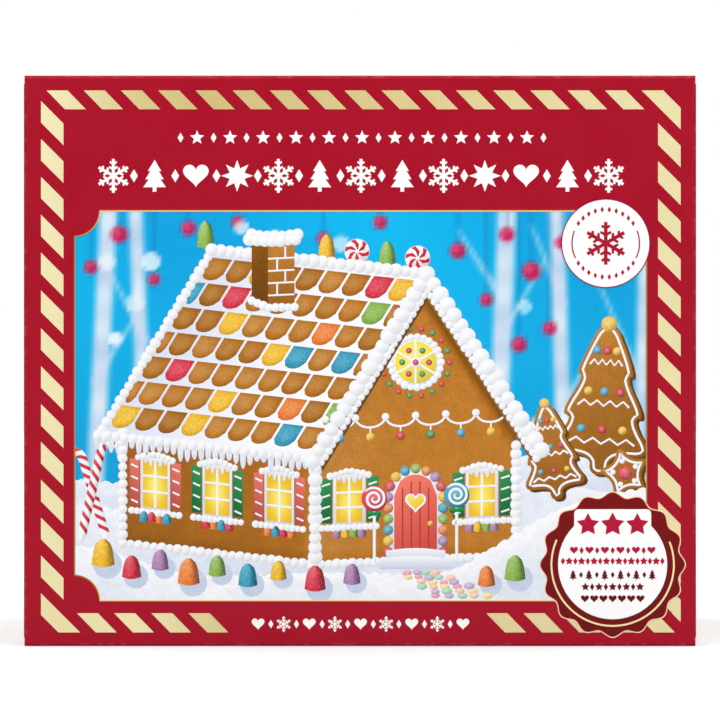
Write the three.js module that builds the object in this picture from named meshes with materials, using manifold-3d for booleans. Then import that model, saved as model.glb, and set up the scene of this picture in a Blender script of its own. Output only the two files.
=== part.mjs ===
// A shut gift carton for a pre-built gingerbread house kit: one sheet of fine corrugated board, folded into a
// sleeve, joined at the rear left edge and glued shut with full-overlap flaps at the top and the bottom.
//
// Frame: millimetres, +Z up, origin at the middle of the footprint. The main panel faces -Y.
import * as THREE from "three";
import { TessellateModifier } from "three/addons/modifiers/TessellateModifier.js";
import { mergeVertices } from "three/addons/utils/BufferGeometryUtils.js";
import Module from "manifold-3d";

// The carton's outer size, at its folds.
const WIDTH = 330;
const DEPTH = 220;
const HEIGHT = 280;

// The board and how it is cut and folded.
const BOARD = 1.6; // thickness of the corrugated board
const FOLD_RADIUS = BOARD; // outer radius of a scored fold
const FOLD_STEPS = 3; // flats round a quarter turn of a fold
const FLAP_INSET = 0.4; // how far the ends of the big flaps stand inside the side panels
const FLAP_SHORT = 2.5; // how far the outer flap's free edge stops short of the back panel
const JOINT_STEP = 0.4; // how far the back panel's cut edge stops short of the left side panel

// How far the kit inside pushes the middle of each panel out, and how finely the panels follow that bow.
const BOW = { side: 0.4, front: 1.0, top: 0.4 };
const PANEL_FACET = 80;

const PRINT_RED = 0xab172d;

const HALF_W = WIDTH / 2;
const HALF_D = DEPTH / 2;

const wasm = await Module();
wasm.setup();

// A convex quarter turn of the outline about (cx, cy), from the angle given, counter-clockwise.
function fold(shape, cx, cy, fromDegrees) {
  const from = THREE.MathUtils.degToRad(fromDegrees);
  shape.absarc(cx, cy, FOLD_RADIUS, from, from + Math.PI / 2, false);
}

// The sleeve seen from above. Three of its upright edges are folds. At the rear left one the side panel folds
// in under the back panel, whose cut edge shows.
function sleeveOutline() {
  const x = HALF_W - FOLD_RADIUS;
  const y = HALF_D - FOLD_RADIUS;
  const shape = new THREE.Shape();
  shape.moveTo(-x, -HALF_D);
  fold(shape, x, -y, -90);
  fold(shape, x, y, 0);
  shape.lineTo(-HALF_W + JOINT_STEP, HALF_D);
  shape.lineTo(-HALF_W + JOINT_STEP, HALF_D - BOARD);
  shape.lineTo(-x, HALF_D - BOARD);
  fold(shape, -x, y - BOARD, 90);
  fold(shape, -x, -y, 180);
  return shape;
}

// The side panels seen from the front: they fold at both ends into short flaps under the two big ones.
function sidePanelsOutline() {
  const low = 2 * BOARD;
  const high = HEIGHT - 2 * BOARD;
  const x = HALF_W - FOLD_RADIUS;
  const shape = new THREE.Shape();
  shape.moveTo(-x, low);
  fold(shape, x, low + FOLD_RADIUS, -90);
  fold(shape, x, high - FOLD_RADIUS, 0);
  fold(shape, -x, high - FOLD_RADIUS, 90);
  fold(shape, -x, low + FOLD_RADIUS, 180);
  return shape;
}

// The front and back panels with their big flaps, seen from the right: (y, z). The front panel's flaps lie
// outermost and stop just short of the back panel, whose own flaps lie one board further in.
function bigFlapsOutline() {
  const y = HALF_D - FOLD_RADIUS;
  const freeEdge = HALF_D - FLAP_SHORT;
  const shape = new THREE.Shape();
  shape.moveTo(-y, 0);
  shape.lineTo(freeEdge, 0);
  shape.lineTo(freeEdge, BOARD);
  shape.lineTo(y, BOARD);
  fold(shape, y, BOARD + FOLD_RADIUS, -90);
  fold(shape, y, HEIGHT - BOARD - FOLD_RADIUS, 0);
  shape.lineTo(freeEdge, HEIGHT - BOARD);
  shape.lineTo(freeEdge, HEIGHT);
  shape.lineTo(-y, HEIGHT);
  fold(shape, -y, HEIGHT - FOLD_RADIUS, 90);
  fold(shape, -y, FOLD_RADIUS, 180);
  return shape;
}

// A closed geometry as a solid that can be joined and cut.
function toSolid(geometry) {
  const bare = geometry.clone();
  bare.deleteAttribute("normal");
  bare.deleteAttribute("uv");
  const merged = mergeVertices(bare, 1e-4);
  return new wasm.Manifold(
    new wasm.Mesh({
      numProp: 3,
      vertProperties: merged.attributes.position.array,
      triVerts: new Uint32Array(merged.index.array),
    }),
  );
}

function toGeometry(solid) {
  const { vertProperties, triVerts } = solid.getMesh();
  return new THREE.BufferGeometry()
    .setAttribute("position", new THREE.BufferAttribute(vertProperties, 3))
    .setIndex(new THREE.BufferAttribute(triVerts, 1));
}

// A prism of the outline, from depth start to depth end along the third of the three axes it is drawn on.
function prism(outline, start, end, [across, up, along]) {
  const geometry = new THREE.ExtrudeGeometry(outline, {
    depth: end - start,
    bevelEnabled: false,
    curveSegments: FOLD_STEPS,
  });
  geometry.translate(0, 0, start);
  geometry.applyMatrix4(new THREE.Matrix4().makeBasis(across, up, along));
  return toSolid(geometry);
}

// The two layers of flaps at the bottom and at the top, whose ends are cut square.
function flapLayers() {
  const bottom = wasm.Manifold.cube([WIDTH, DEPTH, 2 * BOARD]).translate([-HALF_W, -HALF_D, 0]);
  return bottom.add(bottom.translate([0, 0, HEIGHT - 2 * BOARD]));
}

// The board folded up, before the load inside bows its panels.
function foldedCarton() {
  const X = new THREE.Vector3(1, 0, 0);
  const Y = new THREE.Vector3(0, 1, 0);
  const Z = new THREE.Vector3(0, 0, 1);
  const sleeve = prism(sleeveOutline(), 0, HEIGHT, [X, Y, Z]);
  const sidePanels = prism(sidePanelsOutline(), -DEPTH, DEPTH, [X, Z, Y.clone().negate()]);
  const flapEnd = HALF_W - FLAP_INSET;
  const bigFlaps = prism(bigFlapsOutline(), -flapEnd, flapEnd, [Y, Z, X]);
  return toGeometry(sleeve.intersect(sidePanels).add(bigFlaps.intersect(sleeve.add(flapLayers()))));
}

// How much of its bow a panel has at a place: all of it in the middle, none at its edges.
function crown(place, half) {
  return Math.max(0, 1 - (place / half) ** 2);
}

// Pushes the middle of every upright panel and of the lid out, and leaves the folds and the base where they are.
function bowPanels(geometry) {
  const position = geometry.attributes.position;
  const halfHeight = HEIGHT / 2;
  for (let i = 0; i < position.count; i++) {
    const x = position.getX(i);
    const y = position.getY(i);
    const z = position.getZ(i);
    const acrossX = crown(x, HALF_W);
    const acrossY = crown(y, HALF_D);
    const acrossZ = crown(z - halfHeight, halfHeight);
    position.setXYZ(
      i,
      x + BOW.side * (x / HALF_W) * acrossY * acrossZ,
      y + BOW.front * (y / HALF_D) * acrossX * acrossZ,
      z + BOW.top * (z / HEIGHT) * acrossX * acrossY,
    );
  }
  return geometry;
}

// The finished carton: its flat panels are divided first, so that they can bow.
function carton() {
  const divided = new TessellateModifier(PANEL_FACET, 12).modify(foldedCarton());
  const geometry = bowPanels(divided);
  geometry.computeVertexNormals();
  const printedBoard = new THREE.MeshStandardMaterial({ color: PRINT_RED, roughness: 0.4, metalness: 0 });
  const mesh = new THREE.Mesh(geometry, printedBoard);
  mesh.name = "carton";
  return mesh;
}

const kitCarton = new THREE.Group();
kitCarton.add(carton());

export default kitCarton;
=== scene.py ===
# A shut gift carton for a gingerbread house kit: fine corrugated board, printed in crimson with a gold
# striped border, a winter picture and a seal, folded up, joined at the rear left edge and glued shut.
#
# Lengths are metres, or millimetres where they are multiplied by MM. +Z is up and the main panel faces -Y.
import math
import random

import bmesh
import bpy
import numpy as np
from mathutils import Matrix, Vector


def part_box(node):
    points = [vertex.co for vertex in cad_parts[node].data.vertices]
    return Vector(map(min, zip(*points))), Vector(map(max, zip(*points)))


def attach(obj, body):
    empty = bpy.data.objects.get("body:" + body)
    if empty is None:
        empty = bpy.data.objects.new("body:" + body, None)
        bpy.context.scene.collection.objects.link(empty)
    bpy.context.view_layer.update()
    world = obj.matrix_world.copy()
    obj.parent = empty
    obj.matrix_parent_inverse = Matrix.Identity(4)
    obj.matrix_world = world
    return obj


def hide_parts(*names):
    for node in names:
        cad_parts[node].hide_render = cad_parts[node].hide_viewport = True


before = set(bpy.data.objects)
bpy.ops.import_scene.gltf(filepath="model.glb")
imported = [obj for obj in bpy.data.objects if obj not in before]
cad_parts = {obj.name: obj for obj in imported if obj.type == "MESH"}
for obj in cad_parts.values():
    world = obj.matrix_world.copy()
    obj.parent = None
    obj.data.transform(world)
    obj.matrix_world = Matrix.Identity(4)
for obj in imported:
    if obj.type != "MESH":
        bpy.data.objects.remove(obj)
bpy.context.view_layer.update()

MM = 0.001
cad_low, cad_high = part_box("carton")


# ---- The camera ----
# A long lens that stands square to the main panel, level with the middle of its picture, as for a
# catalogue shot of a pack.
LENS = 200
SENSOR = 36
SEEN_WIDTH = 353.2 * MM  # how much of the panel's plane the picture takes in
EYE_HEIGHT = 140.36 * MM
PANEL_BOW = 1.0 * MM  # how far the load inside pushes the middle of the main panel out
CLIP_NEAR, CLIP_FAR = 0.1, 60

bpy.ops.object.select_all(action="DESELECT")
bpy.ops.object.camera_add(
    location=(0, cad_low.y + PANEL_BOW - SEEN_WIDTH * LENS / SENSOR, EYE_HEIGHT),
    rotation=(math.pi / 2, 0, 0),
)
camera = bpy.context.object
camera.name = "camera"
camera.data.lens = LENS
camera.data.sensor_width = SENSOR
camera.data.clip_start = CLIP_NEAR
camera.data.clip_end = CLIP_FAR
bpy.context.scene.camera = camera


# ---- The studio ----
# A white floor that turns into a white ground far off, under a sky that is bright above and dim near the
# horizon, so that the varnish mirrors little of it, and five soft boxes round and above the pack.
bpy.context.scene.view_settings.view_transform = "Standard"
FLOOR_REACH = 12
FLOOR_DROP = 0.2 * MM
FLOOR_GREY = 0.56
GLOW_START, GLOW_END = 0.25, 1.5  # how far off the floor begins to fade to white, and ends
NEAR_GLOW, FAR_GLOW = 0.42, 1.0
HORIZON_LIGHT, ZENITH_LIGHT = 0.08, 0.7  # the camera sees the sky as plain white
WHITE_LIGHT = (1, 1, 1, 1)
AIM = Vector((0, 0, 0.14))  # the middle of the pack, which every soft box faces


def add(tree, kind, *inputs, **settings):
    """Adds a shader node, sets or links its inputs in their order, and gives its first output."""
    node = tree.nodes.new(kind)
    for setting, value in settings.items():
        setattr(node, setting, value)
    for socket, value in zip(node.inputs, inputs):
        if isinstance(value, bpy.types.NodeSocket):
            tree.links.new(value, socket)
        elif value is not None:
            socket.default_value = value
    return node.outputs[0]


def object_place(tree):
    """The place on a piece, in metres."""
    return tree.nodes.new("ShaderNodeTexCoord").outputs["Object"]


def blank_material(name):
    """A new material, its node tree and the Principled shader in it."""
    material = bpy.data.materials.new(name)
    material.use_nodes = True
    tree = material.node_tree
    return material, tree, tree.nodes["Principled BSDF"]


bpy.ops.mesh.primitive_plane_add(size=FLOOR_REACH, location=(0, 0, -FLOOR_DROP))
floor = bpy.context.object
floor.name = "floor"
material, tree, shader = blank_material("studio_floor")
shader.inputs["Base Color"].default_value = (FLOOR_GREY, FLOOR_GREY, FLOOR_GREY, 1)
shader.inputs["Roughness"].default_value = 0.9
shader.inputs["Specular IOR Level"].default_value = 0.0
length = add(tree, "ShaderNodeVectorMath", object_place(tree), operation="LENGTH").node.outputs["Value"]
glow = add(tree, "ShaderNodeMapRange", length, GLOW_START, GLOW_END, NEAR_GLOW, FAR_GLOW)
seen = add(tree, "ShaderNodeLightPath")  # what the floor adds for the camera isn't cast on the pack
glow = add(tree, "ShaderNodeMath", glow, seen, operation="MULTIPLY")
shader.inputs["Emission Color"].default_value = WHITE_LIGHT
tree.links.new(glow, shader.inputs["Emission Strength"])
floor.data.materials.append(material)

world = bpy.data.worlds.new("studio_sky")
bpy.context.scene.world = world
world.use_nodes = True
tree = world.node_tree
direction = tree.nodes.new("ShaderNodeSeparateXYZ")
tree.links.new(tree.nodes.new("ShaderNodeTexCoord").outputs["Generated"], direction.inputs[0])
sky = add(tree, "ShaderNodeMapRange", direction.outputs["Z"], 0, 1, HORIZON_LIGHT, ZENITH_LIGHT)
seen = add(tree, "ShaderNodeLightPath")
strength = add(tree, "ShaderNodeMapRange", seen, 0, 1, sky, 1.0)
tree.links.new(strength, tree.nodes["Background"].inputs["Strength"])
tree.nodes["Background"].inputs["Color"].default_value = WHITE_LIGHT

for name, place, size, power in (
    ("left_softbox", (-1.9, -3.2, 2.2), 1.6, 69),
    ("right_softbox", (1.9, -3.2, 2.2), 1.6, 69),
    ("rear_left_softbox", (-3.1, 1.65, 2.4), 1.6, 56),
    ("rear_right_softbox", (3.1, 1.65, 2.4), 1.6, 56),
    ("top_softbox", (0, -0.2, 3.0), 2.6, 14),
):
    bpy.ops.object.light_add(type="AREA", location=place)
    lamp = bpy.context.object
    lamp.name = name
    lamp.data.size = size
    lamp.data.energy = power
    lamp.rotation_euler = (AIM - Vector(place)).to_track_quat("-Z", "Y").to_euler()


# ---- The board ----
# One sheet of fine-flute board with a printed outer liner, folded into a sleeve. The front panel's flaps lie
# outermost at the top and bottom, and the back panel is glued over a turned-in edge of the left side.
WIDTH = 330 * MM
DEPTH = 220 * MM
HEIGHT = 280 * MM
BOARD = 1.6 * MM
LINER = 0.3 * MM
FOLD_RADIUS = BOARD
FOLD_STEPS = 6
EDGE_STEP = 0.4 * MM  # how far the flaps' ends and the back panel's cut edge stop short of the side panels
FLAP_SHORT = 2.5 * MM  # the outer flaps' free edge stops this far short of the back panel
FLUTE_DEPTH = 0.7 * MM  # how far a cut edge can be looked into between its liners
FLUTE_PITCH = 3.3 * MM
CUT_EXACT = 1e-7  # corners nearer than this are one
NEAR = 0.05 * MM  # how closely a face is looked for
GRID = 12 * MM  # the spacing of the cuts that let a panel bow
BOW_SIDE, BOW_FRONT, BOW_TOP = 0.4 * MM, PANEL_BOW, 0.4 * MM


def choose(*pieces):
    """Selects these pieces alone, the first of them as the active one."""
    for piece in bpy.context.selected_objects:
        piece.select_set(False)
    for piece in pieces:
        piece.select_set(True)
    if pieces:
        bpy.context.view_layer.objects.active = pieces[0]


def edit(piece, kind="VERT"):
    """Opens a piece for editing with nothing selected."""
    choose(piece)
    bpy.ops.object.mode_set(mode="EDIT")
    bpy.ops.mesh.select_mode(type=kind)
    pick_none()


def done():
    bpy.ops.object.mode_set(mode="OBJECT")


def pick_all():
    bpy.ops.mesh.select_all(action="SELECT")


def pick_none():
    bpy.ops.mesh.select_all(action="DESELECT")


def pick_faces(piece, wanted):
    """Selects the faces of the piece in edit mode whose middle and normal are wanted."""
    pick_none()
    done()
    for face in piece.data.polygons:
        face.select = wanted(face.center, face.normal)
    bpy.ops.object.mode_set(mode="EDIT")


def across_axis(axis, place, way=1):
    """The plane across an axis at a place, facing a way along it."""
    point, normal = Vector(), Vector()
    point[axis], normal[axis] = place, way
    return {"plane_co": point, "plane_no": normal}


def places_of(piece):
    """The places of a piece's corners, a row for each."""
    rows = np.empty(len(piece.data.vertices) * 3)
    piece.data.vertices.foreach_get("co", rows)
    return rows.reshape(-1, 3)


def move_corners(piece, rows):
    """Moves a piece's corners to these rows of places."""
    piece.data.vertices.foreach_set("co", np.ravel(rows))
    piece.data.update()


def fold(cx, cy, start):
    """The corners of an outline's quarter turn about (cx, cy), from an angle in degrees."""
    steps = (math.radians(start + 90 * i / FOLD_STEPS) for i in range(FOLD_STEPS + 1))
    return [(cx + FOLD_RADIUS * math.cos(a), cy + FOLD_RADIUS * math.sin(a)) for a in steps]


def slice_at(piece, axis, places):
    """Cuts every face along planes across an axis, without parting anything."""
    edit(piece)
    for place in places:
        pick_all()
        bpy.ops.mesh.bisect(**across_axis(axis, place), threshold=CUT_EXACT)
    done()


def grid_lines(low, high):
    """The places between two where the cuts lie."""
    return [i * GRID for i in range(math.ceil(low / GRID), math.floor(high / GRID) + 1)]


def bow(piece):
    """Pushes the middles of the panels out as the load inside does. The folds stay where they are."""
    place = places_of(piece)
    half = np.array([WIDTH, DEPTH, HEIGHT]) / 2
    share = (place - (0, 0, half[2])) / half
    across_x, across_y, across_z = np.maximum(0, 1 - share**2).T
    place[:, 0] += BOW_SIDE * share[:, 0] * across_y * across_z
    place[:, 1] += BOW_FRONT * share[:, 1] * across_x * across_z
    place[:, 2] += BOW_TOP * place[:, 2] / HEIGHT * across_x * across_y
    move_corners(piece, place)


# The sleeve seen from above. At the rear left the side panel turns in under the back panel's cut edge.
x, y = WIDTH / 2 - FOLD_RADIUS, DEPTH / 2 - FOLD_RADIUS
flap_end = WIDTH / 2 - EDGE_STEP
free_edge = DEPTH / 2 - FLAP_SHORT
bends = [
    *fold(x, -y, -90),
    *fold(x, y, 0),
    (-flap_end, DEPTH / 2),
    (-flap_end, DEPTH / 2 - BOARD),
    *fold(-x, y - BOARD, 90),
    *fold(-x, -y, 180),
]
sleeve_outline = []
for (u0, v0), (u1, v1) in zip(bends, bends[1:] + bends[:1]):
    sleeve_outline.append((u0, v0))
    if (v0 - free_edge) * (v1 - free_edge) < 0:
        sleeve_outline.append((u0 + (u1 - u0) * (free_edge - v0) / (v1 - v0), free_edge))


def levels_of_the_base():
    """The heights at which the outline changes, and there its half width, its front and its back."""
    quarter = [math.radians(90 * i / FOLD_STEPS) for i in range(FOLD_STEPS + 1)]
    for a in quarter:
        yield FOLD_RADIUS * (1 - math.cos(a)), None, -y - FOLD_RADIUS * math.sin(a), free_edge
    for a in quarter:
        back = y + FOLD_RADIUS * math.sin(a)
        yield BOARD + FOLD_RADIUS * (1 - math.cos(a)), None, -DEPTH / 2, back
    start = math.asin((flap_end - x) / FOLD_RADIUS)
    for i in range(FOLD_STEPS + 1):
        a = start + (math.pi / 2 - start) * i / FOLD_STEPS
        height = 2 * BOARD + FOLD_RADIUS * (1 - math.cos(a))
        yield height, x + FOLD_RADIUS * math.sin(a), -DEPTH / 2, DEPTH / 2


base = list(levels_of_the_base())
levels = base + [(HEIGHT - height, *rest) for height, *rest in reversed(base)]


def at_level(corner, level):
    """Where a corner of the sleeve's outline is at a level. The flaps are cut square."""
    height, half_width, front, back = level
    u, v = corner
    if half_width is not None:
        u = min(max(u, -half_width), half_width)
    elif abs(u) > x - NEAR:
        u = math.copysign(flap_end, u)
    return u, min(max(v, front), back), height


choose()
bpy.ops.mesh.primitive_grid_add(x_subdivisions=len(sleeve_outline), y_subdivisions=len(levels) - 1)
carton = bpy.context.object
carton.name = "carton_board"
around = sleeve_outline + sleeve_outline[:1]
move_corners(carton, [at_level(corner, level) for level in levels for corner in around])
edit(carton)
pick_all()
bpy.ops.mesh.remove_doubles(threshold=CUT_EXACT)
pick_all()
bpy.ops.mesh.fill_holes(sides=0)
pick_all()
bpy.ops.mesh.normals_make_consistent(inside=False)
bpy.ops.mesh.select_mode(type="FACE")


# The cut edges are opened between their liners.
def on_end(place, normal):
    """Whether a face lies in the square end of a flap, or of the back panel."""
    return abs(normal.x) > 0.9 and abs(abs(place.x) - flap_end) < NEAR


def on_free_edge(place, normal):
    """Whether a face lies in the free edge of an outer flap."""
    return normal.y > 0.9 and abs(place.y - free_edge) < NEAR


def open_edge(on_edge, inward, strip):
    """Pushes a strip of a cut edge in. The strip is given by its limits along two of the axes."""
    def pick(margin):
        pick_faces(carton, lambda place, normal: on_edge(place, normal) and normal.dot(inward) < 0 and all(
            low - margin < place[axis] < high + margin for axis, (low, high) in strip.items()
        ))

    for axis, limits in strip.items():
        for limit in limits:
            pick(LINER)
            bpy.ops.mesh.bisect(**across_axis(axis, limit), threshold=CUT_EXACT)
    pick(0)
    bpy.ops.mesh.extrude_region_move(TRANSFORM_OT_translate={"value": inward})


rightward, forward = Vector((FLUTE_DEPTH, 0, 0)), Vector((0, -FLUTE_DEPTH, 0))
reach = flap_end - FLUTE_DEPTH - LINER
for low in (0, HEIGHT - BOARD):
    between_liners = low + LINER, low + BOARD - LINER
    for inward in (rightward, -rightward):
        open_edge(on_end, inward, {1: (-y, free_edge - 2 * LINER), 2: between_liners})
    open_edge(on_free_edge, forward, {0: (-reach, reach), 2: between_liners})
for low in (BOARD, HEIGHT - 2 * BOARD):
    for inward in (rightward, -rightward):
        open_edge(on_end, inward, {1: (-y, y), 2: (low + LINER, low + BOARD - LINER)})
joint = {1: (DEPTH / 2 - BOARD + LINER, DEPTH / 2 - LINER), 2: (3 * BOARD, HEIGHT - 3 * BOARD)}
open_edge(on_end, rightward, joint)
done()
for face in carton.data.polygons:
    place = face.center
    height = min(place.z, HEIGHT - place.z)
    in_end = flap_end - FLUTE_DEPTH - NEAR < abs(place.x) < flap_end + NEAR
    in_joint = place.x < 0 and place.y > DEPTH / 2 - BOARD + NEAR
    in_free_edge = free_edge - FLUTE_DEPTH - NEAR < place.y < free_edge + NEAR and height < BOARD
    if in_free_edge or in_end and (height < 2 * BOARD or in_joint):
        face.material_index = 1  # bare kraft

# The panels are divided so that they can bow.
for axis, (low, high) in enumerate(zip(cad_low, cad_high)):
    slice_at(carton, axis, grid_lines(low + GRID / 2, high - GRID / 2))
bow(carton)


def linear(colour):
    """An sRGB colour, 0 to 255, as the linear values that a shader takes."""
    share = np.asarray(colour, float) / 255
    return np.where(share < 0.04045, share / 12.92, ((share + 0.055) / 1.055) ** 2.4)


def math_node(tree, operation, *inputs):
    """A sum, a product or another operation on values."""
    return add(tree, "ShaderNodeMath", *inputs, operation=operation)


def mixed(tree, factor, low, high, kind="MIX"):
    """Two colours mixed by a factor."""
    node = tree.nodes.new("ShaderNodeMix")
    node.data_type = "RGBA"
    node.blend_type = kind
    for index, value in zip((0, 6, 7), (factor, low, high)):  # of the inputs, those that mix colours
        if isinstance(value, bpy.types.NodeSocket):
            tree.links.new(value, node.inputs[index])
        else:
            node.inputs[index].default_value = value
    return node.outputs[2]


def noise(tree, place, scale, detail):
    """Soft noise from 0 to 1."""
    return add(tree, "ShaderNodeTexNoise", place, None, scale, detail)


# The face of the paper: faint mottling in its colour, fibres, and the ribs of the fluting that show through
# the liner. The flutes stand upright, so the ribs repeat along X, or along Y at the sides.
RIB_HEIGHT = 0.008 * MM
FIBRE_HEIGHT = 0.004 * MM
CLOUD_SCALE, FIBRE_SCALE = 45, 1500  # repeats in a metre
FIBRE_SHADE = 0.06  # how far the fibres darken or lighten the ink
FIBRE_ROUGHNESS, CLOUD_ROUGHNESS = 0.08, 0.12
paper = bpy.data.node_groups.new("paper_face", "ShaderNodeTree")
for way, sockets in (
    ("INPUT", (("Ink", "Color"), ("Mottling", "Float"), ("Gloss", "Float"))),
    ("OUTPUT", (("Color", "Color"), ("Roughness", "Float"), ("Normal", "Vector"))),
):
    for name, kind in sockets:
        paper.interface.new_socket(name, in_out=way, socket_type=f"NodeSocket{kind}")
given = paper.nodes.new("NodeGroupInput")
result = paper.nodes.new("NodeGroupOutput")
place = object_place(paper)
facing = paper.nodes.new("ShaderNodeNewGeometry").outputs["True Normal"]
cloud = math_node(paper, "SUBTRACT", noise(paper, place, CLOUD_SCALE, 3), 0.5)
fibre = noise(paper, place, FIBRE_SCALE, 3)
shade = math_node(paper, "MULTIPLY_ADD", cloud, given.outputs["Mottling"], 1.0)
speck = math_node(paper, "MULTIPLY_ADD", math_node(paper, "SUBTRACT", fibre, 0.5), FIBRE_SHADE, shade)
paper.links.new(mixed(paper, 1.0, given.outputs["Ink"], speck, "MULTIPLY"), result.inputs["Color"])
rough = math_node(paper, "MULTIPLY_ADD", fibre, FIBRE_ROUGHNESS, given.outputs["Gloss"])
rough = math_node(paper, "MULTIPLY_ADD", cloud, CLOUD_ROUGHNESS, rough)
paper.links.new(rough, result.inputs["Roughness"])
along = paper.nodes.new("ShaderNodeSeparateXYZ")
paper.links.new(place, along.inputs[0])
aspect = paper.nodes.new("ShaderNodeSeparateXYZ")
paper.links.new(facing, aspect.inputs[0])
at_side = math_node(paper, "GREATER_THAN", math_node(paper, "ABSOLUTE", aspect.outputs["X"]), 0.7)
turns = [math_node(paper, "MULTIPLY", along.outputs[axis], 2 * math.pi / FLUTE_PITCH) for axis in "XY"]
ribs = [math_node(paper, "SINE", turn) for turn in turns]
relief = math_node(paper, "MULTIPLY", add(paper, "ShaderNodeMix", at_side, None, *ribs), RIB_HEIGHT)
relief = math_node(paper, "MULTIPLY_ADD", fibre, FIBRE_HEIGHT, relief)
bump = paper.nodes.new("ShaderNodeBump")
bump.inputs["Strength"].default_value = 1.0
bump.inputs["Distance"].default_value = 1.0
paper.links.new(relief, bump.inputs["Height"])
paper.links.new(bump.outputs[0], result.inputs["Normal"])


CRIMSON, RUBBED = (169, 24, 44), (205, 96, 104)
KRAFT = (176, 141, 102)
WEAR = 0.3  # how far the ink is rubbed off where a fold is worn most
SATIN = 0.26  # the roughness of the varnish
VARNISH_SHINE = 0.25
HAZE, KEY = 0.0095, 1.07  # what the varnish adds to an ink under these lamps, and how brightly they light it


def printed(name, ink, mottling, gloss):
    """A varnished ink. The ink is a colour or a socket made by a function of the tree."""
    material, tree, shader = blank_material(name)
    group = tree.nodes.new("ShaderNodeGroup")
    group.node_tree = paper
    if callable(ink):
        tree.links.new(ink(tree), group.inputs["Ink"])
    else:
        group.inputs["Ink"].default_value = (*inked(ink), 1)
    group.inputs["Mottling"].default_value = mottling
    group.inputs["Gloss"].default_value = gloss
    for output, socket in (("Color", "Base Color"), ("Roughness", "Roughness"), ("Normal", "Normal")):
        tree.links.new(group.outputs[output], shader.inputs[socket])
    shader.inputs["Specular IOR Level"].default_value = VARNISH_SHINE
    return material


def inked(colour):
    """The ink that looks like an sRGB colour once it lies under the varnish in this light."""
    return np.clip((linear(colour) - HAZE) / KEY, 0, 0.95)


def rubbed_at_folds(tree):
    """Crimson that is rubbed a little paler here and there along the folds."""
    place = object_place(tree)
    offset = add(tree, "ShaderNodeVectorMath", place, (0, 0, HEIGHT / 2), operation="SUBTRACT")
    offset = add(tree, "ShaderNodeVectorMath", offset, operation="ABSOLUTE")
    flat = [length / 2 - FOLD_RADIUS for length in (WIDTH, DEPTH, HEIGHT)]
    beyond = tree.nodes.new("ShaderNodeSeparateXYZ")
    tree.links.new(add(tree, "ShaderNodeVectorMath", offset, flat, operation="SUBTRACT"), beyond.inputs[0])
    across, deep, up = beyond.outputs
    folds = [math_node(tree, "MINIMUM", *pair) for pair in ((across, deep), (deep, up), (across, up))]
    fold_face = math_node(tree, "MAXIMUM", math_node(tree, "MAXIMUM", folds[0], folds[1]), folds[2])
    near = add(tree, "ShaderNodeMapRange", fold_face, -0.2 * MM, 0.7 * MM, 0, WEAR)
    patches = add(tree, "ShaderNodeMapRange", noise(tree, place, 260, 4), 0.5, 0.62, 0, 1)
    rubbed = math_node(tree, "MULTIPLY", near, patches)
    return mixed(tree, rubbed, (*inked(CRIMSON), 1), (*inked(RUBBED), 1))


kraft = printed("kraft_paper", KRAFT, 0.3, 0.72)
carton.data.materials.append(printed("crimson_print", rubbed_at_folds, 0.12, SATIN))
carton.data.materials.append(kraft)
choose(carton)
bpy.ops.object.shade_smooth_by_angle(angle=math.radians(30))
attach(carton, "root")
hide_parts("carton")


# ---- The fluting ----
# The wave of brown paper between the liners, where it shows in the free edges of the two outer flaps. It is
# glued to the liners at its crests.
FLUTE_PAPER = 0.2 * MM
WAVE_STEPS = 8


def copy_at(piece, move):
    """A copy of a piece with a mesh of its own, moved by a matrix."""
    copy = piece.copy()
    copy.data = piece.data.copy()
    copy.data.transform(move)
    bpy.context.collection.objects.link(copy)
    return copy


def join(pieces):
    """Makes pieces one."""
    choose(*pieces)
    if len(pieces) > 1:
        bpy.ops.object.join()
    return pieces[0]


reach = flap_end - FLUTE_DEPTH - LINER - NEAR
steps = round(2 * reach / FLUTE_PITCH) * WAVE_STEPS
choose()
bpy.ops.mesh.primitive_grid_add(x_subdivisions=steps, y_subdivisions=1)
fluting = bpy.context.object
fluting.name = fluting.data.name = "fluting"
crest, turn = BOARD / 2 - LINER - FLUTE_PAPER / 2, 2 * math.pi / WAVE_STEPS
move_corners(fluting, [
    (reach * (2 * k / steps - 1), free_edge - depth, BOARD / 2 + crest * math.sin(turn * k))
    for depth in (FLUTE_DEPTH, NEAR)
    for k in range(steps + 1)
])
thickness = fluting.modifiers.new("paper", "SOLIDIFY")
thickness.thickness = FLUTE_PAPER
thickness.offset = 0
bpy.ops.object.modifier_apply(modifier=thickness.name)
join([fluting, copy_at(fluting, Matrix.Translation((0, 0, HEIGHT - BOARD)))])
bow(fluting)
fluting.data.materials.append(kraft)
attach(fluting, "root")


# ---- The gold border ----
# A band of slanting gold bars that runs round each panel. Like all the print it is a film of ink: flat shapes
# laid out as (u, v) in millimetres from the middle of the panel's foot, sunk a little into the liner.
INK = 0.025 * MM  # each level of ink stands this much above the one below it
UNDER = 0.1 * MM  # how far a film reaches into the liner
CLEAR = 0.0012 * MM  # how much shapes that overlap within a level differ in height
BAR_WIDTH = 10.6
ROW_BAR_WIDTH, ROW_LEAN = 10.3, 0.975  # the bars of the upper and lower rows are slimmer and steeper
BAR_PITCH = 18.4
TOWARD_BASE = Matrix.Translation((0, -DEPTH / 2, 0))
SIDEWAYS = Matrix.Translation((0, -WIDTH / 2, 0))
SMALL = 0.61  # the size of the art on the side panels
TOP_LINE = 213.9  # the height of the picture's upper edge on every panel
shrink = Matrix.Translation((0, 0, TOP_LINE * (1 - SMALL) * MM)) @ Matrix.Diagonal((SMALL, 1, SMALL, 1))
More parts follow.
